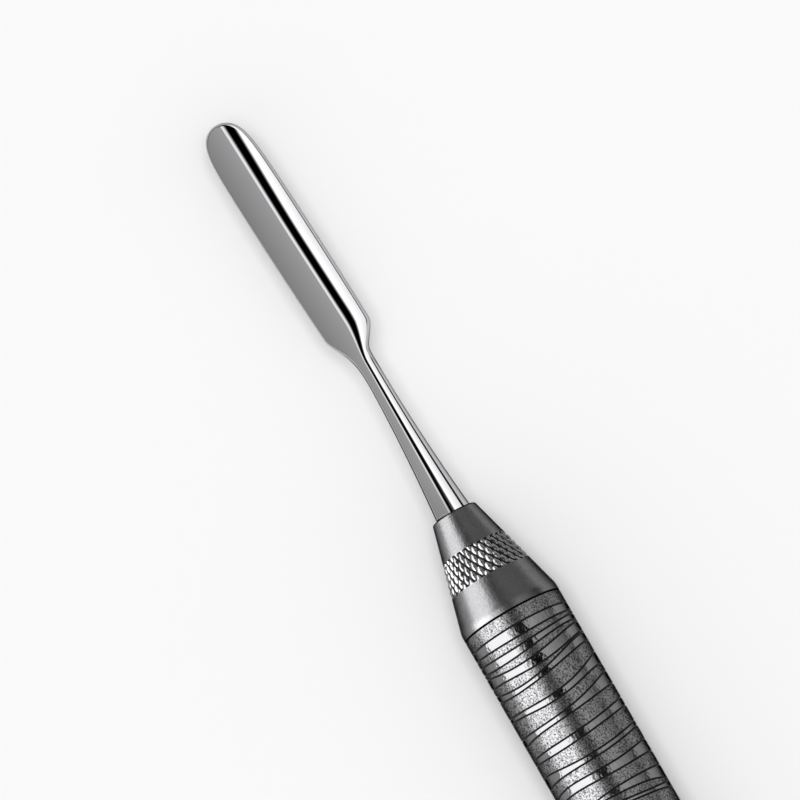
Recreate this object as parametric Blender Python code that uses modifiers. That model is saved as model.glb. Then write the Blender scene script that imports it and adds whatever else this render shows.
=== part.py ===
"""Sinus lift instrument: a long blunt spatula blade on a slim tapered shank, held in a round hollow handle.

The instrument lies along X with its tip at +X, and its handle rests on Z = 0. The blade's rounded back
ridge faces up, and its flat side faces down. Lengths are in metres.
"""

import math

import bmesh
import bpy
from mathutils import Matrix

MM = 0.001

# Handle tube
HANDLE_DIAMETER = 10.0 * MM
HANDLE_LENGTH = 100.0 * MM
HANDLE_WALL = 1.0 * MM
EDGE_BREAK = 0.12 * MM
SEAM_GAP = 0.12 * MM

# Tapered ends of the handle
CONE_ANGLE = math.radians(15.0)
NOSE_DIAMETER = 4.5 * MM
NOSE_ROUND = 0.2 * MM
LAND_LENGTH = 0.7 * MM
SHOULDER_ROUND = 2.0 * MM
SPIGOT_LENGTH = 8.0 * MM
SPIGOT_CHAMFER = 0.3 * MM
FIT_CLEARANCE = 0.05 * MM
CAP_END_ROUND = 0.5 * MM

# Diamond knurl on the front cone
KNURL_COUNT = 28
KNURL_LENGTHS = 2.5
KNURL_FROM_NOSE = 3.72 * MM
KNURL_BAND = 2.95 * MM
KNURL_DEPTH = 0.2 * MM
KNURL_CREST = 0.03 * MM
KNURL_LAND = 0.35
KNURL_RUNOUT = 0.12 * MM

# Shank and tang
SHANK_ROOT_DIAMETER = 3.53 * MM
SHANK_NECK_DIAMETER = 1.72 * MM
SHANK_NECK_AT = 16.95 * MM
SHANK_TAPER_POWER = 1.82
TANG_LENGTH = 12.0 * MM
TANG_CHAMFER = 0.3 * MM
TANG_END_GAP = 0.3 * MM

# Blade: distances along it are from the nose of the handle
BLADE_REACH = 42.8 * MM
BLADE_WIDTH = 4.87 * MM
HEEL_WIDTH = 4.67 * MM
WIDEST_AT = 30.0 * MM
BEND_AT = 19.03 * MM
BEND_ANGLE = math.radians(2.93)
INNER_SHOULDER = (11.0 * MM, 20.13 * MM)
INNER_LEAD = 2.72
OUTER_SHOULDER = (17.11 * MM, 20.13 * MM)
TIP_ROUNDING = 1.234 * MM

# Blade section: a ridge on the outer side runs over into a long, slightly crowned flank. The flank goes on
# down the round shank as a facet, which starts at the nose.
RIDGE_RADIUS = 2.77 * MM
RIDGE_SPREAD = (16.2 * MM, 21.0 * MM)
RIDGE_OFFSET = 0.7 * MM
RIDGE_OFFSET_AT_TIP = 0.92 * MM
RIDGE_DRIFT_FROM = 29.0 * MM
RIDGE_HEIGHT = 0.75 * MM
FLANK_ANGLE = math.radians(17.0)
FLANK_RADIUS = 22.0 * MM
FACET_RUN_IN = (0.05 * MM, 0.4 * MM)
BACK_DEPTH = 0.5 * MM
TIP_THINNING = 0.15 * MM
EDGE_ROUND = 0.24 * MM
EDGE_ROUND_SHARE = 0.6
OUTER_EDGE_RUN_IN = (14.5 * MM, 17.5 * MM)

# Facets
AROUND = 2 * KNURL_COUNT
ROUND_STEPS = 4
SECTION_STEPS = 20
RUN_IN_STATIONS = 3
SHANK_STATIONS = 10
SHOULDERS_FROM = 14.5 * MM
SHOULDER_STATIONS = 14
BLADE_STATIONS = 6
TIP_STATIONS = 14
TIP_LENGTH = 6.2 * MM
TIP_BUNCHING = 3
WELD = 0.001 * MM
FLAT_ANGLE = math.radians(0.5)
SHARP_ANGLE = math.radians(30.0)

handle_radius = HANDLE_DIAMETER / 2
nose_radius = NOSE_DIAMETER / 2
spigot_radius = handle_radius - HANDLE_WALL - FIT_CLEARANCE
cone_length = (handle_radius - nose_radius) / math.tan(CONE_ANGLE)
taper_length = cone_length + LAND_LENGTH
root_radius = SHANK_ROOT_DIAMETER / 2
neck_radius = SHANK_NECK_DIAMETER / 2
total_length = BLADE_REACH + 2 * taper_length + 2 * SEAM_GAP + HANDLE_LENGTH
nose_x = total_length / 2 - BLADE_REACH
front_seam_x = nose_x - taper_length
tube_x = front_seam_x - SEAM_GAP - HANDLE_LENGTH / 2
rear_seam_x = front_seam_x - HANDLE_LENGTH - 2 * SEAM_GAP
# One flat facet of the handle lies on the surface, so the axis is a facet's distance above it.
axis_z = handle_radius * math.cos(math.pi / AROUND)
first_facet_turn = math.pi / AROUND


def clear_scene():
    for obj in list(bpy.data.objects):
        bpy.data.objects.remove(obj, do_unlink=True)


def steel(name, colour, roughness):
    material = bpy.data.materials.new(name)
    material.use_nodes = True
    shader = material.node_tree.nodes["Principled BSDF"]
    shader.inputs["Base Color"].default_value = (*colour, 1.0)
    shader.inputs["Metallic"].default_value = 1.0
    shader.inputs["Roughness"].default_value = roughness
    return material


def fillet(before, corner, after, radius):
    """The points of the arc that rounds a profile's corner, from its first tangent point to its last."""
    arm_in = (before[0] - corner[0], before[1] - corner[1])
    arm_out = (after[0] - corner[0], after[1] - corner[1])
    length_in, length_out = math.hypot(*arm_in), math.hypot(*arm_out)
    angle_in = math.atan2(arm_in[1], arm_in[0])
    between = math.remainder(math.atan2(arm_out[1], arm_out[0]) - angle_in, math.tau)
    half = abs(between) / 2
    reach = min(radius / math.tan(half), length_in / 2, length_out / 2)
    radius = reach * math.tan(half)
    middle = angle_in + between / 2
    centre = (
        corner[0] + radius / math.sin(half) * math.cos(middle),
        corner[1] + radius / math.sin(half) * math.sin(middle),
    )
    sweep = math.copysign(math.pi - 2 * half, between)
    start = middle + math.pi + sweep / 2
    return [
        (
            centre[0] + radius * math.cos(start - sweep * step / ROUND_STEPS),
            centre[1] + radius * math.sin(start - sweep * step / ROUND_STEPS),
        )
        for step in range(ROUND_STEPS + 1)
    ]


def rounded(corners, closed=False):
    """A profile of (radius, height) points from corners given as (radius, height, rounding)."""
    points = []
    for i, (r, z, rounding) in enumerate(corners):
        if rounding == 0 or (not closed and i in (0, len(corners) - 1)):
            points.append((r, z))
        else:
            before = corners[i - 1][:2]
            after = corners[(i + 1) % len(corners)][:2]
            points += fillet(before, (r, z), after, rounding)
    return points


def add_profile(mesh, points, closed=False):
    """Adds a profile to a bmesh in the half plane through the first facet's edge."""
    direction = (math.cos(first_facet_turn), math.sin(first_facet_turn))
    verts = [mesh.verts.new((r * direction[0], r * direction[1], z)) for r, z in points]
    pairs = list(zip(verts, verts[1:]))
    if closed:
        pairs.append((verts[-1], verts[0]))
    return verts, [mesh.edges.new(pair) for pair in pairs]


def place(obj, collection, material, axis, x):
    """Links a piece, gives it its material and sets it on the instrument's axis."""
    collection.objects.link(obj)
    obj.data.materials.append(material)
    obj.parent = axis
    obj.location = (x, 0, 0)


def turned(name, points, closed=False):
    """A piece turned on a lathe: its profile with a Screw modifier, with local Z along the instrument."""
    profile = bmesh.new()
    add_profile(profile, points, closed)
    mesh = bpy.data.meshes.new(name)
    profile.to_mesh(mesh)
    profile.free()
    obj = bpy.data.objects.new(name, mesh)
    obj.rotation_euler = (0, math.pi / 2, 0)
    screw = obj.modifiers.new("turn", "SCREW")
    screw.axis = "Z"
    screw.steps = AROUND
    screw.render_steps = AROUND
    screw.use_merge_vertices = True
    screw.merge_threshold = WELD
    screw.use_smooth_shade = True
    whole_faces = obj.modifiers.new("whole_faces", "DECIMATE")
    whole_faces.decimate_type = "DISSOLVE"
    whole_faces.angle_limit = FLAT_ANGLE
    return obj


def shade(mesh):
    mesh.shade_smooth()
    mesh.set_sharp_from_angle(angle=SHARP_ANGLE)


def cone_radius(z):
    """The front cone's radius at height z above the seam."""
    return handle_radius - (z - LAND_LENGTH) * math.tan(CONE_ANGLE)


def add_knurl(mesh, top_z):
    """Adds the knurled band: two crossed sets of grooves leave rows of flat-topped diamonds.

    A turn counts in grooves and a row in half diamonds, so grooves cross wherever both sum to an even number
    of halves. top_z is the height of the band's end nearer the nose."""
    rows = round(2 * KNURL_LENGTHS)
    row_step = KNURL_BAND / rows

    def vert(turn, row, height):
        z = top_z - row * row_step
        angle = first_facet_turn + turn * math.tau / KNURL_COUNT
        radius = cone_radius(z) + height
        return mesh.verts.new((radius * math.cos(angle), radius * math.sin(angle), z))

    def crossings(row):
        return [vert(k + row % 2 / 2, row, -KNURL_DEPTH) for k in range(KNURL_COUNT)]

    def crossing(row, turn):
        return grooves[row][math.floor(turn - row % 2 / 2 + 0.5) % KNURL_COUNT]

    grooves = [crossings(row) for row in range(rows + 1)]
    for row in range(1, rows):
        for k in range(KNURL_COUNT):
            turn = k + (row + 1) % 2 / 2
            steps = ((-1, 0), (0, 1), (1, 0), (0, -1))
            corners = [crossing(row + r, turn + t / 2) for t, r in steps]
            crest = [
                vert(turn + KNURL_LAND * t / 2, row + KNURL_LAND * r, KNURL_CREST)
                for t, r in steps
            ]
            mesh.faces.new(crest)
            for side in range(4):
                after = (side + 1) % 4
                mesh.faces.new((corners[side], corners[after], crest[after], crest[side]))

    runout_rows = KNURL_RUNOUT / row_step
    for row, inward in ((0, 1), (rows, -1)):
        offset = (row + 1) % 2 / 2
        plain = [vert(k / 2, row - inward * runout_rows, 0) for k in range(AROUND)]
        for k in range(KNURL_COUNT):
            turn = k + offset
            peak = vert(turn, row, 0)
            crest = vert(turn, row + inward * KNURL_LAND, KNURL_CREST)
            left, right = crossing(row, turn - 0.5), crossing(row, turn + 0.5)
            tail = crossing(row + inward, turn)
            mesh.faces.new((left, peak, crest, tail))
            mesh.faces.new((peak, right, tail, crest))
            at = round(2 * turn)
            mesh.faces.new((plain[(at - 1) % AROUND], plain[at % AROUND], peak, left))
            mesh.faces.new((plain[at % AROUND], plain[(at + 1) % AROUND], right, peak))


def front_ferrule():
    """The turned front cone, with a blind bore for the tang, a spigot for the tube and a knurled band."""
    bore_radius = root_radius + FIT_CLEARANCE
    bore_bottom = taper_length - TANG_LENGTH - TANG_END_GAP
    band_top = taper_length - KNURL_FROM_NOSE
    band_bottom = band_top - KNURL_BAND
    plain_top, plain_bottom = band_top + KNURL_RUNOUT, band_bottom - KNURL_RUNOUT
    nose = rounded(
        [
            (0, bore_bottom, 0),
            (bore_radius, bore_bottom, 0),
            (bore_radius, taper_length, 0),
            (nose_radius, taper_length, NOSE_ROUND),
            (cone_radius(plain_top), plain_top, 0),
        ]
    )
    rear = rounded(
        [
            (cone_radius(plain_bottom), plain_bottom, 0),
            (handle_radius, LAND_LENGTH, SHOULDER_ROUND),
            (handle_radius, 0, EDGE_BREAK),
            (spigot_radius, 0, 0),
            (spigot_radius, -SPIGOT_LENGTH, SPIGOT_CHAMFER),
            (0, -SPIGOT_LENGTH, 0),
        ]
    )
    solid = bmesh.new()
    for points in (nose, rear):
        verts, edges = add_profile(solid, points)
        bmesh.ops.spin(
            solid,
            geom=verts + edges,
            cent=(0, 0, 0),
            axis=(0, 0, 1),
            angle=math.tau,
            steps=AROUND,
        )
    add_knurl(solid, band_top)
    bmesh.ops.remove_doubles(solid, verts=solid.verts, dist=WELD)
    bmesh.ops.recalc_face_normals(solid, faces=solid.faces)
    mesh = bpy.data.meshes.new("front_ferrule")
    solid.to_mesh(mesh)
    solid.free()
    shade(mesh)
    obj = bpy.data.objects.new("front_ferrule", mesh)
    obj.rotation_euler = (0, math.pi / 2, 0)
    return obj


def handle_tube():
    """The plain tube, open at both ends for the spigots."""
    half = HANDLE_LENGTH / 2
    bore_radius = handle_radius - HANDLE_WALL
    corners = [
        (handle_radius, half, EDGE_BREAK),
        (handle_radius, -half, EDGE_BREAK),
        (bore_radius, -half, 0),
        (bore_radius, half, 0),
    ]
    return turned("handle_tube", rounded(corners, closed=True), closed=True)


def rear_cap():
    """The plain cone that closes the rear of the tube."""
    corners = [
        (0, SPIGOT_LENGTH, 0),
        (spigot_radius, SPIGOT_LENGTH, SPIGOT_CHAMFER),
        (spigot_radius, 0, 0),
        (handle_radius, 0, EDGE_BREAK),
        (handle_radius, -LAND_LENGTH, SHOULDER_ROUND),
        (nose_radius, -taper_length, CAP_END_ROUND),
        (0, -taper_length, 0),
    ]
    return turned("rear_cap", rounded(corners))


def eased(x, span, lead=1.0):
    """0 before the span, 1 after it, and a smooth rise along it, which a lead over 1 makes start slowly."""
    share = min(max((x - span[0]) / (span[1] - span[0]), 0.0), 1.0) ** lead
    return share * share * (3 - 2 * share)


def shank_radius(x):
    left = max(1 - x / SHANK_NECK_AT, 0.0)
    return neck_radius + (root_radius - neck_radius) * min(left, 1.0) ** SHANK_TAPER_POWER


def centre_line(x):
    """How far the blade's middle has moved to the inner side, +Y, because the blade is bent."""
    return (x - BEND_AT) * math.tan(BEND_ANGLE)


def tip_closing(x):
    """How far the round tip has closed at x, from 0 well before it to 1 at its end."""
    return math.exp(-(BLADE_REACH - x) / TIP_ROUNDING)


def half_width(x):
    """Half the blade's width before its tip is rounded."""
    slimming = (BLADE_WIDTH - HEEL_WIDTH) / 2
    heel_at = (INNER_SHOULDER[1] + OUTER_SHOULDER[1]) / 2
    return BLADE_WIDTH / 2 - slimming * ((x - WIDEST_AT) / (WIDEST_AT - heel_at)) ** 2


def edges_at(x):
    """The Y of the blank's inner and outer edges: round shank, shoulders, then the blade and its tip."""
    blade = half_width(x) * math.sqrt(max(1 - tip_closing(x), 0.0))
    shank = shank_radius(x)
    inner = shank + (centre_line(x) + blade - shank) * eased(x, INNER_SHOULDER, INNER_LEAD)
    outer = -shank + (centre_line(x) - blade + shank) * eased(x, OUTER_SHOULDER)
    return inner, outer


def ridge_at(x):
    """The ridge's line, radius and height: the round shank's own, which spread into the blade's."""
    spread = eased(x, RIDGE_SPREAD)
    drift = eased(x, (RIDGE_DRIFT_FROM, BLADE_REACH))
    offset = RIDGE_OFFSET + (RIDGE_OFFSET_AT_TIP - RIDGE_OFFSET) * drift
    height = RIDGE_HEIGHT - TIP_THINNING * drift
    shank = shank_radius(x)
    return (
        (centre_line(x) - offset) * spread,
        shank + (RIDGE_RADIUS - shank) * spread,
        shank + (height - shank) * spread,
    )


def upper_side(x, y):
    """The height of the ridge's arc, or of the flank's wider arc, tangent to it."""
    line, radius, height = ridge_at(x)
    inward = y - line
    if inward < radius * math.sin(FLANK_ANGLE):
        return height - radius + math.sqrt(max(radius**2 - inward**2, 0.0))
    beyond = inward + (FLANK_RADIUS - radius) * math.sin(FLANK_ANGLE)
    centre = height - radius - (FLANK_RADIUS - radius) * math.cos(FLANK_ANGLE)
    return centre + math.sqrt(FLANK_RADIUS**2 - beyond**2)


def edge_run(x, across, half, thickness):
    """How full the section is at a share across of its half width: 0 at the rounded edge, 1 well inside."""
    closing = tip_closing(x)
    slope = math.hypot(closing / TIP_ROUNDING, 2 * across * (1 - closing) / half)
    inside = (1 - closing) * (1 - across**2) / slope
    rounding = min(EDGE_ROUND, EDGE_ROUND_SHARE * thickness)
    if across < 0:
        rounding *= eased(x, OUTER_EDGE_RUN_IN)
    if inside >= rounding:
        return 1.0
    return math.sqrt(1 - (1 - inside / rounding) ** 2)


def section(x):
    """One ring of the working end, from the inner edge over the top to the outer edge and back below."""
    inner, outer = edges_at(x)
    middle_y, half = (inner + outer) / 2, (inner - outer) / 2
    flatness = (eased(x, INNER_SHOULDER, INNER_LEAD) + eased(x, OUTER_SHOULDER)) / 2
    faceting = eased(x, FACET_RUN_IN)
    ring = []
    for step in range(2 * SECTION_STEPS):
        angle = math.pi * step / SECTION_STEPS
        across = math.cos(angle)
        y = middle_y + half * across
        z = shank_radius(x) * math.sin(angle)
        top = upper_side(x, y)
        thickness = top + BACK_DEPTH
        middle = top - thickness / 2
        run = edge_run(x, across, half, thickness)
        if step <= SECTION_STEPS:
            edge = middle * flatness
            z += (edge + (top - edge) * run - z) * faceting
        else:
            z += (middle - thickness / 2 * run - z) * flatness
        ring.append((x, y, z))
    return ring


def stations():
    """Where the rings stand: wide apart on straight runs, close at the shoulders and towards the tip."""
    marks = (0, *FACET_RUN_IN, SHOULDERS_FROM, INNER_SHOULDER[1], BLADE_REACH - TIP_LENGTH)
    counts = (1, RUN_IN_STATIONS, SHANK_STATIONS, SHOULDER_STATIONS, BLADE_STATIONS)
    runs = zip(marks, marks[1:], counts)
    places = [a + (b - a) * k / count for a, b, count in runs for k in range(count)]
    closing = [(1 - k / TIP_STATIONS) ** TIP_BUNCHING for k in range(TIP_STATIONS)]
    return places + [BLADE_REACH - TIP_LENGTH * left for left in closing]


def working_end():
    """Blade, shank and tang, forged and ground in one: a loft from a round tang to the blade's section."""
    solid = bmesh.new()
    tang = (
        (-TANG_LENGTH, root_radius - TANG_CHAMFER),
        (-TANG_LENGTH + TANG_CHAMFER, root_radius),
    )
    rings = []
    for x, radius in tang:
        angles = [math.pi * step / SECTION_STEPS for step in range(2 * SECTION_STEPS)]
        rings.append([(x, radius * math.cos(a), radius * math.sin(a)) for a in angles])
    rings += [section(x) for x in stations()]
    loops = [[solid.verts.new(point) for point in ring] for ring in rings]
    for first, second in zip(loops, loops[1:]):
        for k in range(len(first)):
            after = (k + 1) % len(first)
            solid.faces.new((first[k], first[after], second[after], second[k]))
    solid.faces.new(loops[0])
    solid.faces.new(loops[-1])
    bmesh.ops.recalc_face_normals(solid, faces=solid.faces)
    mesh = bpy.data.meshes.new("working_end")
    solid.to_mesh(mesh)
    solid.free()
    shade(mesh)
    return bpy.data.objects.new("working_end", mesh)


def build():
    clear_scene()
    collection = bpy.data.collections.new("sinus_lift_instrument")
    bpy.context.scene.collection.children.link(collection)
    axis = bpy.data.objects.new("instrument_axis", None)
    axis.matrix_world = Matrix.Translation((0, 0, axis_z))
    collection.objects.link(axis)
    polished = steel("polished_steel", (0.62, 0.62, 0.63), 0.12)
    satin = steel("satin_steel", (0.42, 0.42, 0.43), 0.45)
    banded = steel("banded_steel", (0.34, 0.34, 0.35), 0.3)
    place(working_end(), collection, polished, axis, nose_x)
    place(front_ferrule(), collection, satin, axis, front_seam_x)
    place(handle_tube(), collection, banded, axis, tube_x)
    place(rear_cap(), collection, satin, axis, rear_seam_x)


build()
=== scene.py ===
import math
import random

import bpy
from mathutils import Matrix, Vector


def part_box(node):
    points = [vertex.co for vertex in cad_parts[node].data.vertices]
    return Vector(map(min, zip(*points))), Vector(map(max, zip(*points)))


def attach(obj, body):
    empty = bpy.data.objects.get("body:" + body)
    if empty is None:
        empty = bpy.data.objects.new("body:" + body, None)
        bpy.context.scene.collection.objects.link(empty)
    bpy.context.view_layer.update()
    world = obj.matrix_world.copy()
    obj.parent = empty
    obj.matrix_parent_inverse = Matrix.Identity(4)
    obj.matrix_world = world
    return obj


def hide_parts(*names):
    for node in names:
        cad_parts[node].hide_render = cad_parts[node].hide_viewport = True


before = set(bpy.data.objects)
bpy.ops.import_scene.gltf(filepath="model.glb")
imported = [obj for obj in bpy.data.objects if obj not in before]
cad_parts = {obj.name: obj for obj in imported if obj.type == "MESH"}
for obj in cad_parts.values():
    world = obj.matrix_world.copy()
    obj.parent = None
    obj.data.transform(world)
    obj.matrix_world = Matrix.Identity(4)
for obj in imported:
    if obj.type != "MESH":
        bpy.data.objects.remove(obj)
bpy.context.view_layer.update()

MM = 0.001

# The camera looks down on the lying instrument from a metre away and leans back over the handle, so that
# the blade leads away from it. It is turned so that the blade points up and to the left.
PHOTO_SIDE = 800
HANDLE_PIXELS = 108.16
NOSE_PIXEL = (453.84, 514.31)
AXIS_TURN = math.radians(29.87)
BLADE_TILT = math.radians(9.3)
CAMERA_DISTANCE = 1000 * MM
CAMERA_CLIP = (10 * MM, 20.0)
SENSOR_WIDTH = 36.0

ferrule_low, ferrule_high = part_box("front_ferrule")
tube_low, tube_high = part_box("handle_tube")
handle_radius = (tube_high.y - tube_low.y) / 2
axis_height = (tube_low.z + tube_high.z) / 2
nose = Vector((ferrule_high.x, 0, axis_height))

towards_camera = Vector((-math.sin(BLADE_TILT), 0, math.cos(BLADE_TILT)))
along_blade = Vector((math.cos(BLADE_TILT), 0, math.sin(BLADE_TILT)))
across_blade = Vector((0, -1, 0))
picture_right = across_blade * math.cos(AXIS_TURN) - along_blade * math.sin(AXIS_TURN)
picture_up = across_blade * math.sin(AXIS_TURN) + along_blade * math.cos(AXIS_TURN)
pixel = 2 * handle_radius / HANDLE_PIXELS
nose_right = (NOSE_PIXEL[0] - PHOTO_SIDE / 2) * pixel
nose_up = (PHOTO_SIDE / 2 - NOSE_PIXEL[1]) * pixel

camera = bpy.data.objects.new("camera", bpy.data.cameras.new("camera"))
bpy.context.scene.collection.objects.link(camera)
bpy.context.scene.camera = camera
camera.data.sensor_width = SENSOR_WIDTH
camera.data.lens = SENSOR_WIDTH * CAMERA_DISTANCE / (pixel * PHOTO_SIDE)
camera.data.clip_start, camera.data.clip_end = CAMERA_CLIP
camera_place = nose + towards_camera * CAMERA_DISTANCE - picture_right * nose_right - picture_up * nose_up
camera_turn = Matrix((picture_right, picture_up, towards_camera)).transposed().to_4x4()
camera.matrix_world = Matrix.Translation(camera_place) @ camera_turn
bpy.context.scene.view_settings.view_transform = "Standard"


# The working end is one stainless forging: a slim round shank that tapers from the handle, and a long blunt
# blade with a rounded ridge along its outer side. It is ground, then buffed lengthwise to a mirror.
ROOT_RADIUS = 1.765 * MM
NECK_RADIUS = 0.86 * MM
NECK_AT = 16.95 * MM
TAPER_POWER = 1.82
TANG_CHAMFER = 0.3 * MM
BLADE_WIDTH = 4.87 * MM
HEEL_WIDTH = 4.67 * MM
WIDEST_AT = 30.0 * MM
BEND_AT = 19.03 * MM
BEND_ANGLE = math.radians(2.93)
INNER_SHOULDER = (11.0 * MM, 20.13 * MM)
INNER_LEAD = 2.72
OUTER_SHOULDER = (17.11 * MM, 20.13 * MM)
TIP_ROUNDING = 1.234 * MM
RIDGE_RADIUS = 2.77 * MM
RIDGE_WIDENING = 0.5 * MM
RIDGE_SPREAD = (16.2 * MM, 21.0 * MM)
RIDGE_OFFSET = 0.7 * MM
RIDGE_OFFSET_AT_TIP = 0.92 * MM
RIDGE_DRIFT_FROM = 29.0 * MM
RIDGE_HEIGHT = 0.75 * MM
FLANK_ANGLE = math.radians(17.0)
FLANK_RADIUS = 22.0 * MM
FACET_RUN_IN = (0.01 * MM, 0.1 * MM)
BACK_DEPTH = 0.5 * MM
TIP_THINNING = 0.15 * MM
EDGE_ROUND = 0.24 * MM
OUTER_EDGE_ROUND = 0.4 * MM
EDGE_ROUND_SHARE = 0.6
OUTER_EDGE_RUN_IN = (14.5 * MM, 17.5 * MM)
SECTION_STEPS = 72
STATION_COUNTS = (1, 10, 60, 80, 30)
TIP_LENGTH = 6.2 * MM
TIP_STATIONS = 44
TIP_BUNCHING = 3
SHARP_ANGLE = math.radians(40)
STEEL = (0.55, 0.55, 0.56)
MIRROR_ROUGHNESS = (0.02, 0.045)
BUFFING_DEPTH = 0.002 * MM

end_low, end_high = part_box("working_end")
blade_reach = end_high.x - nose.x


def eased(x, span, lead=1.0):
    """0 before the span, 1 after it, and a smooth rise along it, which a lead over 1 makes start slowly."""
    share = min(max((x - span[0]) / (span[1] - span[0]), 0.0), 1.0) ** lead
    return share * share * (3 - 2 * share)


def shank_radius(x):
    left = min(max(1 - x / NECK_AT, 0.0), 1.0)
    return NECK_RADIUS + (ROOT_RADIUS - NECK_RADIUS) * left**TAPER_POWER


def centre_line(x):
    return (x - BEND_AT) * math.tan(BEND_ANGLE)


def tip_closing(x):
    """How far the round tip has closed at x, from 0 well before it to 1 at its end."""
    return math.exp(-(blade_reach - x) / TIP_ROUNDING)


def half_width(x):
    heel_at = (INNER_SHOULDER[1] + OUTER_SHOULDER[1]) / 2
    slimming = (BLADE_WIDTH - HEEL_WIDTH) / 2
    return BLADE_WIDTH / 2 - slimming * ((x - WIDEST_AT) / (WIDEST_AT - heel_at)) ** 2


def edges_at(x):
    """Where the inner and outer edges lie: the round shank's sides, which spread into the blade's."""
    blade = half_width(x) * math.sqrt(max(1 - tip_closing(x), 0.0))
    shank = shank_radius(x)
    inner = shank + (centre_line(x) + blade - shank) * eased(x, INNER_SHOULDER, INNER_LEAD)
    outer = -shank + (centre_line(x) - blade + shank) * eased(x, OUTER_SHOULDER)
    return inner, outer


def ridge_at(x):
    """The ridge's line, radius and height: the round shank's own, which spread into the blade's."""
    spread = eased(x, RIDGE_SPREAD)
    drift = eased(x, (RIDGE_DRIFT_FROM, blade_reach))
    offset = RIDGE_OFFSET + (RIDGE_OFFSET_AT_TIP - RIDGE_OFFSET) * drift
    height = RIDGE_HEIGHT - TIP_THINNING * drift
    shank = shank_radius(x)
    return (
        (centre_line(x) - offset) * spread,
        shank + (RIDGE_RADIUS + RIDGE_WIDENING * drift - shank) * spread,
        shank + (height - shank) * spread,
    )


def upper_side(x, y):
    """The height of the ridge's arc, or of the flank's wider arc, tangent to it."""
    line, radius, height = ridge_at(x)
    inward = y - line
    if inward < radius * math.sin(FLANK_ANGLE):
        return height - radius + math.sqrt(max(radius**2 - inward**2, 0.0))
    beyond = inward + (FLANK_RADIUS - radius) * math.sin(FLANK_ANGLE)
    centre = height - radius - (FLANK_RADIUS - radius) * math.cos(FLANK_ANGLE)
    return centre + math.sqrt(FLANK_RADIUS**2 - beyond**2)


def edge_run(x, across, half, thickness):
    """How full the section is at a share across of its half width: 0 at the rounded edge, 1 well inside."""
    closing = tip_closing(x)
    slope = math.hypot(closing / TIP_ROUNDING, 2 * across * (1 - closing) / half)
    inside = (1 - closing) * (1 - across**2) / slope
    rounding = EDGE_ROUND if across > 0 else OUTER_EDGE_ROUND * eased(x, OUTER_EDGE_RUN_IN)
    rounding = min(rounding, EDGE_ROUND_SHARE * thickness)
    if inside >= rounding:
        return 1.0
    return math.sqrt(1 - (1 - inside / rounding) ** 2)


def blade_section(x):
    """The ring round the shank or the blade: from its inner edge over the top and back along the back."""
    inner, outer = edges_at(x)
    middle_y, half = (inner + outer) / 2, (inner - outer) / 2
    flatness = (eased(x, INNER_SHOULDER, INNER_LEAD) + eased(x, OUTER_SHOULDER)) / 2
    faceting = eased(x, FACET_RUN_IN)
    ring = []
    for step in range(2 * SECTION_STEPS):
        angle = math.pi * step / SECTION_STEPS
        across = math.cos(angle)
        y = middle_y + half * across
        z = shank_radius(x) * math.sin(angle)
        top = upper_side(x, y)
        thickness = top + BACK_DEPTH
        middle = top - thickness / 2
        run = edge_run(x, across, half, thickness)
        if step <= SECTION_STEPS:
            edge = middle * flatness
            z += (edge + (top - edge) * run - z) * faceting
        else:
            z += (middle - thickness / 2 * run - z) * flatness
        ring.append((nose.x + x, y, axis_height + z))
    return ring


def blade_stations():
    """Where the sections lie along the working end, ever closer towards the end of the tip."""
    marks = (0, *FACET_RUN_IN, *INNER_SHOULDER, blade_reach - TIP_LENGTH)
    places = [
        a + (b - a) * k / count
        for a, b, count in zip(marks, marks[1:], STATION_COUNTS)
        for k in range(count)
    ]
    left_over = [(1 - k / TIP_STATIONS) ** TIP_BUNCHING for k in range(TIP_STATIONS)]
    return places + [blade_reach - TIP_LENGTH * left for left in left_over]


def lofted(name, rings, caps=True, crease=None):
    """A mesh through closed rings of equal length, shaded smooth, with a flat cap at each end.

    crease(r, k) says how a face splits: 1 along its first diagonal, 2 along its second, 0 not at all."""
    verts = [point for ring in rings for point in ring]
    count = len(rings[0])
    faces = []
    for r in range(len(rings) - 1):
        for k in range(count):
            a, b = r * count + k, (r + 1) * count + k
            c, d = (r + 1) * count + (k + 1) % count, r * count + (k + 1) % count
            split = crease(r, k) if crease else 0
            faces += ([(a, b, c, d)], [(a, b, c), (a, c, d)], [(a, b, d), (b, c, d)])[split]
    if caps:
        faces.append(tuple(range(count)))
        faces.append(tuple(range(len(verts) - 1, len(verts) - 1 - count, -1)))
    mesh = bpy.data.meshes.new(name)
    mesh.from_pydata(verts, [], faces)
    mesh.shade_smooth()
    mesh.set_sharp_from_angle(angle=SHARP_ANGLE)
    piece = bpy.data.objects.new(name, mesh)
    bpy.context.scene.collection.objects.link(piece)
    return piece


def add_node(tree, kind, inputs=None, **settings):
    """Adds a node with its settings; each input is a plain value or another node's output socket."""
    made = tree.nodes.new(kind)
    for key, value in settings.items():
        setattr(made, key, value)
    for key, value in (inputs or {}).items():
        if isinstance(value, bpy.types.NodeSocket):
            tree.links.new(value, made.inputs[key])
        else:
            made.inputs[key].default_value = value
    return made


def new_group(name, values, results):
    """A shader node group with float inputs, given with their defaults, and float outputs."""
    group = bpy.data.node_groups.new(name, "ShaderNodeTree")
    for key, default in values.items():
        socket = group.interface.new_socket(key, in_out="INPUT", socket_type="NodeSocketFloat")
        socket.default_value = default
    for key in results:
        group.interface.new_socket(key, in_out="OUTPUT", socket_type="NodeSocketFloat")
    return group, group.nodes.new("NodeGroupInput"), group.nodes.new("NodeGroupOutput")


def opaque(colour, share=1.0):
    """A colour as a socket takes it, with its levels times a share."""
    return (*(level * share for level in colour), 1.0)


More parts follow.
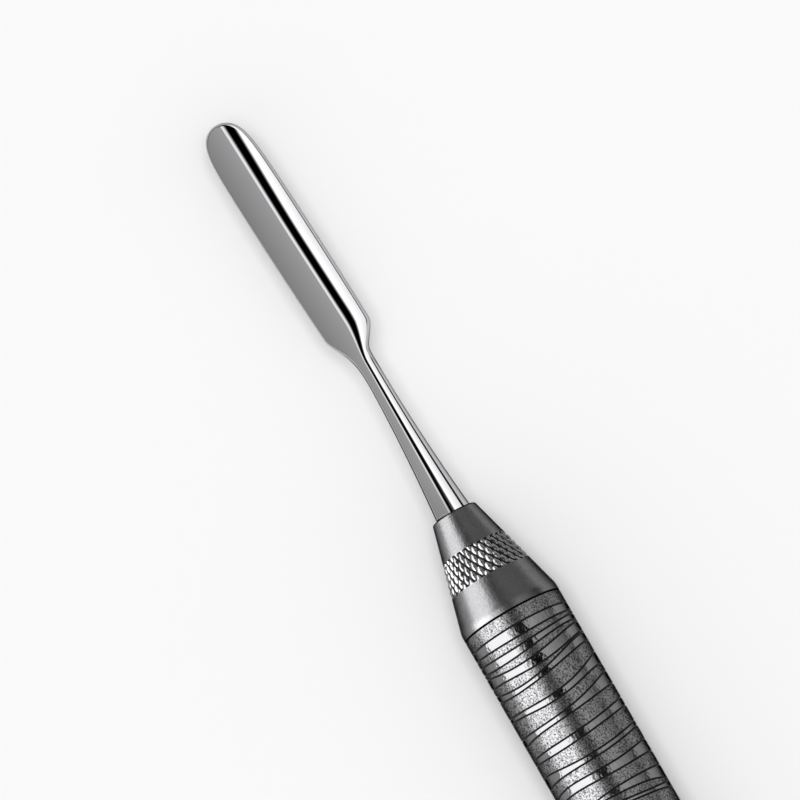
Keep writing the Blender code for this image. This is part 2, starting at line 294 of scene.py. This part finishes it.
def metal(name, colour):
    """A bare metal that darkens at its rims, and its tree and shader for what varies over the surface."""
    material = bpy.data.materials.new(name)
    material.use_nodes = True
    shader = material.node_tree.nodes["Principled BSDF"]
    shader.inputs["Base Color"].default_value = opaque(colour)
    shader.inputs["Metallic"].default_value = 1.0
    shader.inputs["Specular Tint"].default_value = (0.0, 0.0, 0.0, 1.0)
    return material, material.node_tree, shader


def mapped(tree, value, span, results=(0.0, 1.0)):
    """A value that runs from the first result to the second as the one given runs along its span."""
    run = add_node(
        tree,
        "ShaderNodeMapRange",
        {
            "Value": value,
            "From Min": span[0],
            "From Max": span[1],
            "To Min": results[0],
            "To Max": results[1],
        },
    )
    return run.outputs["Result"]


def mixed(tree, factor, first, second):
    """A colour that goes from the first to the second as the factor goes from 0 to 1."""
    mix = add_node(tree, "ShaderNodeMix", {"Factor": factor, "A": first, "B": second}, data_type="RGBA")
    return mix.outputs["Result"]


def add_gloss(tree, shader, mask, span, roughness):
    """Lets the roughness run between two values as a mask runs along its span."""
    tree.links.new(mapped(tree, mask, span, roughness), shader.inputs["Roughness"])


def add_tones(tree, shader, mask, dark, light):
    """Lets the colour run from dark to light as a mask runs from 0 to 1."""
    tree.links.new(mixed(tree, mask, dark, light), shader.inputs["Base Color"])


def add_relief(tree, shader, height, depth, strength=1.0):
    """Tilts a surface's shading as if its height ran over this depth."""
    relief = add_node(tree, "ShaderNodeBump", {"Height": height, "Strength": strength, "Distance": depth})
    tree.links.new(relief.outputs["Normal"], shader.inputs["Normal"])


# Buffing and turning both leave fine parallel lines: a noise that is stretched along one axis.
tool_lines, lines_in, lines_out = new_group(
    "tool_lines", {"Per Metre": 4000.0, "Stretch X": 0.02, "Stretch Y Z": 1.0}, ("Line", "Patch")
)
across_lines = lines_in.outputs["Stretch Y Z"]
stretch = add_node(
    tool_lines,
    "ShaderNodeCombineXYZ",
    {"X": lines_in.outputs["Stretch X"], "Y": across_lines, "Z": across_lines},
)
lines_at = add_node(tool_lines, "ShaderNodeTexCoord").outputs["Object"]
stretched = add_node(
    tool_lines, "ShaderNodeVectorMath", {0: lines_at, 1: stretch.outputs["Vector"]}, operation="MULTIPLY"
)
line_noise = add_node(
    tool_lines,
    "ShaderNodeTexNoise",
    {"Vector": stretched.outputs["Vector"], "Scale": lines_in.outputs["Per Metre"], "Detail": 3.0},
)
patch_noise = add_node(
    tool_lines, "ShaderNodeTexNoise", {"Vector": lines_at, "Scale": 260.0, "Detail": 2.0}
)
tool_lines.links.new(line_noise.outputs["Fac"], lines_out.inputs["Line"])
tool_lines.links.new(patch_noise.outputs["Fac"], lines_out.inputs["Patch"])
PATCH_SPAN = (0.35, 0.7)

mirror_steel, tree, shader = metal("mirror_steel", STEEL)
buffing = add_node(tree, "ShaderNodeGroup", {"Per Metre": 9000.0, "Stretch X": 0.015}, node_tree=tool_lines)
add_gloss(tree, shader, buffing.outputs["Patch"], PATCH_SPAN, MIRROR_ROUGHNESS)
add_relief(tree, shader, buffing.outputs["Line"], BUFFING_DEPTH, strength=0.05)

tang_rings = [
    [
        (end_low.x + inset, radius * math.cos(angle), axis_height + radius * math.sin(angle))
        for angle in (math.pi * step / SECTION_STEPS for step in range(2 * SECTION_STEPS))
    ]
    for inset, radius in ((0, ROOT_RADIUS - TANG_CHAMFER), (TANG_CHAMFER, ROOT_RADIUS))
]
blade = lofted("blade_and_shank", tang_rings + [blade_section(x) for x in blade_stations()])
blade.data.materials.append(mirror_steel)
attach(blade, "root")
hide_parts("working_end")


# The front ferrule is a turned steel cone, bead blasted to a grey satin. A band of diamond knurling is
# rolled into it as a finger grip, and its spigot is pressed into the tube.
NOSE_RADIUS = 2.25 * MM
NOSE_ROUND = 0.2 * MM
LAND_LENGTH = 0.7 * MM
SHOULDER_ROUND = 2.0 * MM
EDGE_BREAK = 0.06 * MM
SEAM_GAP = 0.12 * MM
WALL = 1.0 * MM
FIT = 0.05 * MM
SPIGOT_CHAMFER = 0.3 * MM
TANG_END_GAP = 0.3 * MM
HUB_RADIUS = 0.2 * MM
KNURL_COUNT = 28
KNURL_LENGTHS = 2.5
KNURL_FROM_NOSE = 3.72 * MM
KNURL_BAND = 3.3 * MM
KNURL_DEPTH = 0.17 * MM
KNURL_CREST = 0.03 * MM
KNURL_RUNOUT = 0.12 * MM
CROSS_DEPTH = 0.72
GROOVE_FLOOR = 0.32
END_FLOOR = 0.6
BAND_GUARD = 0.02 * MM
CELLS_IN_KNURL = 16
FERRULE_AROUND = KNURL_COUNT * CELLS_IN_KNURL
KNURL_RINGS = round(KNURL_LENGTHS * CELLS_IN_KNURL)
ARC_STEPS = 8
SATIN = (0.21, 0.21, 0.214)
SATIN_ROUGHNESS = (0.26, 0.32)
PIT_SHARE = 0.8
BLAST_DEPTH = 0.015 * MM
KNURL_BRIGHT = (0.3, 0.3, 0.305)
KNURL_ROUGHNESS = (0.14, 0.28)
# A near black, painted shade for the knurl's grooves and the edge at the seam, and a painted dark reflection
# on the nose's rim.
PAINTED_SHADE = (0.02, 0.02, 0.02)
PAINTED_SHADE_SHARES = (0.5, 2)
PAINTED_SHADE_ROUGHNESS = 0.5

ferrule_seam = tube_high.x + SEAM_GAP
spigot_radius = handle_radius - WALL - FIT
bore_radius = ROOT_RADIUS + FIT
cone_slope = (handle_radius - NOSE_RADIUS) / (nose.x - ferrule_seam - LAND_LENGTH)
band_to = nose.x - KNURL_FROM_NOSE
band_from = band_to - KNURL_BAND


def fillet(before, corner, after, radius):
    """The points of the arc that rounds a profile's corner."""
    arm_in = (before[0] - corner[0], before[1] - corner[1])
    arm_out = (after[0] - corner[0], after[1] - corner[1])
    length_in, length_out = math.hypot(*arm_in), math.hypot(*arm_out)
    angle_in = math.atan2(arm_in[1], arm_in[0])
    between = math.remainder(math.atan2(arm_out[1], arm_out[0]) - angle_in, math.tau)
    half = abs(between) / 2
    reach = min(radius / math.tan(half), length_in / 2, length_out / 2)
    radius = reach * math.tan(half)
    middle = angle_in + between / 2
    centre = (
        corner[0] + radius / math.sin(half) * math.cos(middle),
        corner[1] + radius / math.sin(half) * math.sin(middle),
    )
    sweep = math.copysign(math.pi - 2 * half, between)
    start = middle + math.pi + sweep / 2
    return [
        (
            centre[0] + radius * math.cos(start - sweep * step / ARC_STEPS),
            centre[1] + radius * math.sin(start - sweep * step / ARC_STEPS),
        )
        for step in range(ARC_STEPS + 1)
    ]


def rounded(corners):
    """Profile points (x, radius) from corners given as (x, radius, rounding)."""
    points = []
    for i, (x, r, rounding) in enumerate(corners):
        if rounding == 0 or i in (0, len(corners) - 1):
            points.append((x, r))
        else:
            points += fillet(corners[i - 1][:2], (x, r), corners[i + 1][:2], rounding)
    return points


def ring_at(x, radius, around):
    """A ring round the instrument's axis; radius is a number or a function of the angle."""
    ring = []
    for k in range(around):
        angle = math.tau * k / around
        r = radius(angle) if callable(radius) else radius
        ring.append((x, r * math.cos(angle), axis_height + r * math.sin(angle)))
    return ring


def cone_radius(x):
    return handle_radius - (x - ferrule_seam - LAND_LENGTH) * cone_slope


def to_grooves(x, angle):
    """How far a point of the band is from a groove of each of the two crossed sets, in grooves."""
    along = (band_to - x) / KNURL_BAND * KNURL_LENGTHS
    around = angle / math.tau * KNURL_COUNT
    return [abs(groove - round(groove)) for groove in (around + along, around - along)]


def fullness(x, angle):
    """1 on a diamond's rounded crest, 0 in a groove of the deeper set, and between in the crossing set."""
    crossing, deeper = (math.sin(math.pi * away) for away in to_grooves(x, angle))
    return deeper * (1 - CROSS_DEPTH * (1 - crossing))


def knurled_radius(x):
    """The radius by angle where the crossed grooves leave raised diamonds, fading at the band's ends."""
    fade = min((x - band_from) / KNURL_RUNOUT, (band_to - x) / KNURL_RUNOUT, 1.0)
    relief = KNURL_DEPTH + KNURL_CREST

    def radius(angle):
        return cone_radius(x) + fade * (KNURL_CREST - relief * (1 - fullness(x, angle)))

    return radius


behind_band = rounded(
    [
        (ferrule_low.x, HUB_RADIUS, 0),
        (ferrule_low.x, spigot_radius, SPIGOT_CHAMFER),
        (ferrule_seam, spigot_radius, 0),
        (ferrule_seam, handle_radius, EDGE_BREAK),
        (ferrule_seam + LAND_LENGTH, handle_radius, SHOULDER_ROUND),
        (band_from - BAND_GUARD, cone_radius(band_from - BAND_GUARD), 0),
        (band_from, cone_radius(band_from), 0),
    ]
)
in_band = [band_from + KNURL_BAND * k / KNURL_RINGS for k in range(1, KNURL_RINGS)]
before_band = rounded(
    [
        (band_to, cone_radius(band_to), 0),
        (band_to + BAND_GUARD, cone_radius(band_to + BAND_GUARD), 0),
        (nose.x, NOSE_RADIUS, NOSE_ROUND),
        (nose.x, bore_radius, 0),
        (end_low.x - TANG_END_GAP, bore_radius, 0),
        (end_low.x - TANG_END_GAP, HUB_RADIUS, 0),
    ]
)
ferrule_places = behind_band + [(x, knurled_radius(x)) for x in in_band] + before_band
first_band_ring = len(behind_band) - 1


def groove_crease(r, k):
    """Faces of the knurl split along the nearer groove, so that the diamonds have straight sides."""
    if not 0 <= r - first_band_ring < KNURL_RINGS:
        return 0
    middle = (ferrule_places[r][0] + ferrule_places[r + 1][0]) / 2
    first, second = to_grooves(middle, math.tau * (k + 0.5) / FERRULE_AROUND)
    return 1 if first < second else 2


# Bead blasting leaves a fine even grain, and so does the etching between the handle's polished bands.
# Broader ripples under it break up the edges of what the metal reflects.
blast_grain, grain_in, grain_out = new_group(
    "blast_grain",
    {"Per Metre": 12000.0, "Ripples Per Metre": 3000.0, "Grain Share": 0.4},
    ("Fine", "Cloud", "Relief"),
)
grain_at = add_node(blast_grain, "ShaderNodeTexCoord").outputs["Object"]
fine = add_node(
    blast_grain,
    "ShaderNodeTexNoise",
    {"Vector": grain_at, "Scale": grain_in.outputs["Per Metre"], "Detail": 4.0, "Roughness": 0.65},
)
cloud = add_node(blast_grain, "ShaderNodeTexNoise", {"Vector": grain_at, "Scale": 900.0, "Detail": 3.0})
ripples = add_node(
    blast_grain,
    "ShaderNodeTexNoise",
    {"Vector": grain_at, "Scale": grain_in.outputs["Ripples Per Metre"], "Detail": 1.0},
)
grain_relief = add_node(
    blast_grain,
    "ShaderNodeMath",
    {0: fine.outputs["Fac"], 1: grain_in.outputs["Grain Share"], 2: ripples.outputs["Fac"]},
    operation="MULTIPLY_ADD",
)
blast_grain.links.new(fine.outputs["Fac"], grain_out.inputs["Fine"])
blast_grain.links.new(cloud.outputs["Fac"], grain_out.inputs["Cloud"])
blast_grain.links.new(grain_relief.outputs["Value"], grain_out.inputs["Relief"])
PIT_SPAN = (0.38, 0.6)
CLOUD_SPAN = (0.3, 0.7)
WEAR_SPAN = (0.35, 0.65)

satin_steel, tree, shader = metal("satin_steel", SATIN)
blast = add_node(
    tree, "ShaderNodeGroup", {"Per Metre": 7000.0, "Ripples Per Metre": 5000.0}, node_tree=blast_grain
)
specks = mapped(tree, blast.outputs["Fine"], PIT_SPAN)
add_tones(tree, shader, specks, opaque(SATIN, PIT_SHARE), opaque(SATIN))
add_gloss(tree, shader, blast.outputs["Cloud"], CLOUD_SPAN, SATIN_ROUGHNESS)
add_relief(tree, shader, blast.outputs["Relief"], BLAST_DEPTH)

# The crests of the knurl are burnished by the rolling and by fingers. A near black with a grain in its level
# is painted shade in its grooves and on the edge at the seam, and a painted dark reflection on the rounded
# rim of the nose.
knurl_steel, tree, shader = metal("knurl_steel", KNURL_BRIGHT)
wear = add_node(tree, "ShaderNodeGroup", node_tree=blast_grain)
add_gloss(tree, shader, wear.outputs["Fine"], WEAR_SPAN, KNURL_ROUGHNESS)

painted_shade, tree, shader = metal("painted_shade", PAINTED_SHADE)
shader.inputs["Roughness"].default_value = PAINTED_SHADE_ROUGHNESS
shade_grain = add_node(tree, "ShaderNodeGroup", node_tree=blast_grain)
add_tones(tree, shader, shade_grain.outputs["Fine"], *(opaque(PAINTED_SHADE, share) for share in PAINTED_SHADE_SHARES))

ferrule = lofted(
    "knurled_ferrule", [ring_at(x, r, FERRULE_AROUND) for x, r in ferrule_places], crease=groove_crease
)
for material in (satin_steel, knurl_steel, painted_shade):
    ferrule.data.materials.append(material)
SATIN_FACE, CREST_FACE, PAINTED_SHADE_FACE = range(3)
# Faces deep in the knurl's grooves and on the edge at the seam get painted shade, and those on the nose's
# rounded rim a painted dark reflection, all in the same near black.
for face in ferrule.data.polygons:
    x, y, z = face.center
    if band_from < x < band_to:
        at_end = min(x - band_from, band_to - x) < KNURL_RUNOUT
        angle = math.atan2(z - axis_height, y) % math.tau
        in_groove = fullness(x, angle) < (END_FLOOR if at_end else GROOVE_FLOOR)
        face.material_index = PAINTED_SHADE_FACE if in_groove else CREST_FACE
    elif x > nose.x - NOSE_ROUND or x < ferrule_seam + EDGE_BREAK:
        face.material_index = PAINTED_SHADE_FACE
    else:
        face.material_index = SATIN_FACE
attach(ferrule, "root")
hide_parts("front_ferrule")


# The handle is a thin steel tube. Wavy bands run round it, by turns polished and etched to a grain, and a
# fine engraved line, darkened in its bottom, parts each from the next.
TUBE_AROUND = 220
FIRST_BAND = 1.35 * MM
LAST_BANDS = 3 * FIRST_BAND
BAND_SEED = 7
# An engraved line's section goes across in line widths and up in line depths.
LINE_WIDTH = 0.19 * MM
LINE_DEPTH = 0.07 * MM
LINE_SECTION = ((-0.5, 0), (-0.2, -1), (0.2, -1), (0.5, 0))
LEAST_PITCH = 1.05 * LINE_WIDTH
# Band widths and sways are in millimetres. Every band follows the shared waves, each given by its waves round
# the tube, its sway, and the length along the tube over which it turns by a radian.
POLISHED_WIDTHS = (0.55, 1.3)
ETCHED_WIDTHS = (0.4, 0.6, 1.2, 1.5)
SHARED_WAVES = ((1, 0.55, 9 * MM), (2, 0.3, -6 * MM))
OWN_WAVES = (1, 2, 3)
OWN_SWAY = 0.42
SWAY_RUN_IN = 3 * MM
POLISHED = (0.21, 0.21, 0.214)
POLISHED_ROUGHNESS = (0.12, 0.2)
TURNING_SHARE = 0.012
TURNING_DEPTH = 0.035 * MM
ETCHED = (0.25, 0.25, 0.255)
ETCHED_PIT = (0.04, 0.04, 0.04)
ETCHED_SPAN = (0.4, 0.56)
ETCHED_ROUGHNESS = 0.28
ETCHED_DEPTH = 0.018 * MM
LINE_COLOUR = (0.012, 0.012, 0.012)
LINE_ROUGHNESS = 0.6
LINE_SPECULAR = 0.1

tube_length = tube_high.x - tube_low.x
bore = handle_radius - WALL

random.seed(BAND_SEED)
bands = []
reached = FIRST_BAND
etched = False
while reached < tube_length - LAST_BANDS:
    width = random.choice(ETCHED_WIDTHS) if etched else random.uniform(*POLISHED_WIDTHS)
    sway = [(m, random.uniform(-OWN_SWAY, OWN_SWAY) / m, random.uniform(0, math.tau)) for m in OWN_WAVES]
    bands.append((reached, etched, sway))
    reached += width * MM
    etched = not etched
bands.append((reached, False, []))


def band_start(start, sway, angle):
    """How far behind the front seam a band starts at this angle, with shared waves and its own."""
    ease = min((start - FIRST_BAND) / SWAY_RUN_IN, 1.0)
    shared = sum(size * math.sin(m * angle + start / turn) for m, size, turn in SHARED_WAVES)
    own = sum(size * math.sin(m * angle + phase) for m, size, phase in sway)
    return start + ease * (shared + own) * MM


# The lines are pushed apart, first towards the rear and then towards the front, so that none cuts another.
lines = [[FIRST_BAND] * TUBE_AROUND]
for start, _, sway in bands[1:]:
    starts = [band_start(start, sway, math.tau * k / TUBE_AROUND) for k in range(TUBE_AROUND)]
    lines.append([max(place, before + LEAST_PITCH) for place, before in zip(starts, lines[-1])])
lines.append([tube_length - FIRST_BAND] * TUBE_AROUND)
for index in reversed(range(len(lines) - 1)):
    lines[index] = [min(place, after - LEAST_PITCH) for place, after in zip(lines[index], lines[index + 1])]


def line_ring(line, offset, radius):
    """A ring that follows an engraved line, at an offset across it in line widths."""
    circle = ring_at(0, radius, TUBE_AROUND)
    return [(tube_high.x - behind - offset * LINE_WIDTH, y, z) for behind, (_, y, z) in zip(line, circle)]


# Each ring has the finish of the faces between it and the next one.
POLISHED_FACE, ETCHED_FACE, LINE_FACE = range(3)
front = (tube_high.x, handle_radius)
front_edge = fillet((tube_high.x, bore), front, (tube_high.x - MM, handle_radius), EDGE_BREAK)
tube_rings = [ring_at(x, r, TUBE_AROUND) for x, r in [(tube_high.x, bore)] + front_edge]
finishes = [POLISHED_FACE] * len(front_edge) + [ETCHED_FACE]
for line, (_, etched, _) in zip(lines, bands + [(None, True, None)]):
    for offset, height in LINE_SECTION:
        tube_rings.append(line_ring(line, offset, handle_radius + height * LINE_DEPTH))
        finishes.append(LINE_FACE)
    finishes[-1] = ETCHED_FACE if etched else POLISHED_FACE
rear = (tube_low.x, handle_radius)
rear_edge = fillet((tube_low.x + MM, handle_radius), rear, (tube_low.x, bore), EDGE_BREAK)
tube_rings += [ring_at(x, r, TUBE_AROUND) for x, r in rear_edge + [(tube_low.x, bore), (tube_high.x, bore)]]
finishes += [POLISHED_FACE] * (len(tube_rings) - len(finishes))

tube = lofted("banded_tube", tube_rings, caps=False)
for face in tube.data.polygons:
    face.material_index = finishes[face.index // TUBE_AROUND]

polished_band, tree, shader = metal("polished_band", POLISHED)
turning = add_node(
    tree,
    "ShaderNodeGroup",
    {"Per Metre": 9000.0, "Stretch X": 1.0, "Stretch Y Z": 0.03},
    node_tree=tool_lines,
)
add_gloss(tree, shader, turning.outputs["Patch"], PATCH_SPAN, POLISHED_ROUGHNESS)
waviness = add_node(tree, "ShaderNodeGroup", {"Grain Share": 0.0}, node_tree=blast_grain)
turned_relief = add_node(
    tree,
    "ShaderNodeMath",
    {0: turning.outputs["Line"], 1: TURNING_SHARE, 2: waviness.outputs["Relief"]},
    operation="MULTIPLY_ADD",
)
add_relief(tree, shader, turned_relief.outputs["Value"], TURNING_DEPTH)

etched_band, tree, shader = metal("etched_band", ETCHED)
shader.inputs["Roughness"].default_value = ETCHED_ROUGHNESS
etching = add_node(tree, "ShaderNodeGroup", {"Per Metre": 6200.0}, node_tree=blast_grain)
speckle = mapped(tree, etching.outputs["Fine"], ETCHED_SPAN)
add_tones(tree, shader, speckle, opaque(ETCHED_PIT), opaque(ETCHED))
add_relief(tree, shader, etching.outputs["Fine"], ETCHED_DEPTH, strength=0.8)

engraved_line, tree, shader = metal("engraved_line", LINE_COLOUR)
shader.inputs["Metallic"].default_value = 0.0
shader.inputs["Roughness"].default_value = LINE_ROUGHNESS
shader.inputs["Specular IOR Level"].default_value = LINE_SPECULAR

for material in (polished_band, etched_band, engraved_line):
    tube.data.materials.append(material)
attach(tube, "root")
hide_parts("handle_tube")


# The rear cap is a plain turned cone with a flat end, blasted like the front one and pressed into the tube.
# It closes the hollow handle.
CAP_END_ROUND = 0.5 * MM
CAP_AROUND = 160

cap_low, cap_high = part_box("rear_cap")
cap_seam = tube_low.x - SEAM_GAP
cap_corners = rounded(
    [
        (cap_high.x, HUB_RADIUS, 0),
        (cap_high.x, spigot_radius, SPIGOT_CHAMFER),
        (cap_seam, spigot_radius, 0),
        (cap_seam, handle_radius, EDGE_BREAK),
        (cap_seam - LAND_LENGTH, handle_radius, SHOULDER_ROUND),
        (cap_low.x, NOSE_RADIUS, CAP_END_ROUND),
        (cap_low.x, HUB_RADIUS, 0),
    ]
)
cap = lofted("plain_rear_cap", [ring_at(x, r, CAP_AROUND) for x, r in reversed(cap_corners)])
cap.data.materials.append(satin_steel)
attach(cap, "root")
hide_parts("rear_cap")


# The studio is a pale floor under the instrument, and a soft box or two for each finish, as a photographer
# would set one light at a time. Each box lights only the pieces that it is set for.
FLOOR_SIDE = 6.0
FLOOR_COLOUR = (0.9, 0.9, 0.9)
FLOOR_ROUGHNESS = 0.9
FLOOR_SPECULAR = 0.1

bpy.ops.mesh.primitive_plane_add(size=FLOOR_SIDE, location=(0, 0, 0))
floor = bpy.context.object
floor.name = "pale_floor"
floor_paint = bpy.data.materials.new("pale_floor")
floor_paint.use_nodes = True
floor_shader = floor_paint.node_tree.nodes["Principled BSDF"]
floor_shader.inputs["Base Color"].default_value = opaque(FLOOR_COLOUR)
floor_shader.inputs["Roughness"].default_value = FLOOR_ROUGHNESS
floor_shader.inputs["Specular IOR Level"].default_value = FLOOR_SPECULAR
floor.data.materials.append(floor_paint)


def soft_box(name, lit, aim, swing, lean, width, length, radiance, distance=0.4):
    """A soft box over the instrument, at an angle to the right of overhead, swing, and forwards, lean."""
    across, forwards = math.radians(swing), math.radians(lean)
    z_axis = Vector(
        (
            math.sin(forwards),
            -math.sin(across) * math.cos(forwards),
            math.cos(across) * math.cos(forwards),
        )
    )
    y_axis = (Vector((1, 0, 0)) - z_axis * z_axis.x).normalized()
    x_axis = y_axis.cross(z_axis)
    facing = Matrix((x_axis, y_axis, z_axis)).transposed().to_4x4()
    lamp = bpy.data.lights.new(name, "AREA")
    lamp.shape = "RECTANGLE"
    lamp.size = width
    lamp.size_y = length
    lamp.energy = radiance * math.pi * width * length
    box = bpy.data.objects.new(name, lamp)
    bpy.context.scene.collection.objects.link(box)
    box.matrix_world = Matrix.Translation(aim + z_axis * distance) @ facing
    box.visible_camera = False
    lit_pieces = bpy.data.collections.new(name + "_lights")
    for piece in lit:
        lit_pieces.objects.link(piece)
    box.light_linking.receiver_collection = lit_pieces


blade_middle = Vector((nose.x + blade_reach / 2, 0, axis_height))
seam = Vector((tube_high.x, 0, axis_height))
floor_middle = Vector((0, 0, 0))
cones = [ferrule, cap]
soft_box("blade_soft_box", [blade], blade_middle, swing=46.3, lean=9, width=0.38, length=0.6, radiance=1.15)
soft_box("handle_soft_box", [tube], seam, swing=-54, lean=9, width=0.48, length=0.5, radiance=3.9)
soft_box("handle_side_box", [tube], seam, swing=51, lean=9, width=0.52, length=0.5, radiance=0.42)
soft_box("ferrule_soft_box", cones, seam, swing=-66, lean=30, width=0.43, length=0.8, radiance=3.5)
soft_box("ferrule_edge_box", cones, seam, swing=-52, lean=4, width=0.52, length=0.14, radiance=2.4)
soft_box(
    "floor_soft_box", [floor], floor_middle, swing=0, lean=0, width=1, length=1, radiance=6.7, distance=2.0
)

# The sky has strips of plain grey from side to side, which the polished steel mirrors as lines along the
# blade. Each is given by its angle to the right of overhead, in degrees, and its level. Further forward is
# what the cones mirror, with strips of its own, and well ahead and behind the sky is plain.
SKY_STRIPS = (
    (-90, 0.42),
    (-60, 0.42),
    (-48, 0.36),
    (-34, 0.56),
    (-22.5, 0.6),
    (-21, 1.45),
    (-15.5, 1.45),
    (-10.5, 0.3),
    (-8.5, 0.05),
    (-6.5, 0.0),
    (12.5, 0.0),
    (14.5, 0.08),
    (16.5, 0.4),
    (19, 0.9),
    (30, 0.75),
    (47, 0.45),
    (70, 0.2),
    (72, 0.02),
    (90, 0.02),
)
FORWARD_STRIPS = (
    (-90, 0.3),
    (-28, 0.25),
    (-20, 0.0),
    (3, 0.0),
    (9, 0.34),
    (90, 0.33),
)
FORWARD_SPAN = (0.3, 0.42)
AHEAD = ((0.76, 0.86), 0.55)
BEHIND = ((-0.1, -0.2), 0.85)

world = bpy.data.worlds.new("studio")
bpy.context.scene.world = world
world.use_nodes = True
tree = world.node_tree
direction = add_node(tree, "ShaderNodeTexCoord").outputs["Generated"]
parts = add_node(tree, "ShaderNodeSeparateXYZ", {"Vector": direction})
ahead = parts.outputs["X"]
to_right = add_node(tree, "ShaderNodeMath", {0: parts.outputs["Y"], 1: -1.0}, operation="MULTIPLY")
swing = add_node(
    tree, "ShaderNodeMath", {0: to_right.outputs["Value"], 1: parts.outputs["Z"]}, operation="ARCTAN2"
)
from_left = mapped(tree, swing.outputs["Value"], (-math.pi / 2, math.pi / 2))


def grey(level):
    return opaque((level, level, level))


def sky_ramp(strips):
    """The sky's level from the left horizon to the right one."""
    ramp = add_node(tree, "ShaderNodeValToRGB", {"Fac": from_left})
    stops = ramp.color_ramp.elements
    while len(stops) > 1:
        stops.remove(stops[-1])
    for index, (degrees, level) in enumerate(strips):
        position = (degrees + 90) / 180
        stop = stops[0] if index == 0 else stops.new(position)
        stop.position = position
        stop.color = grey(level)
    return ramp.outputs["Color"]


sky = mixed(tree, mapped(tree, ahead, FORWARD_SPAN), sky_ramp(SKY_STRIPS), sky_ramp(FORWARD_STRIPS))
for span, level in (AHEAD, BEHIND):
    sky = mixed(tree, mapped(tree, ahead, span), sky, grey(level))
tree.links.new(sky, tree.nodes["Background"].inputs["Color"])
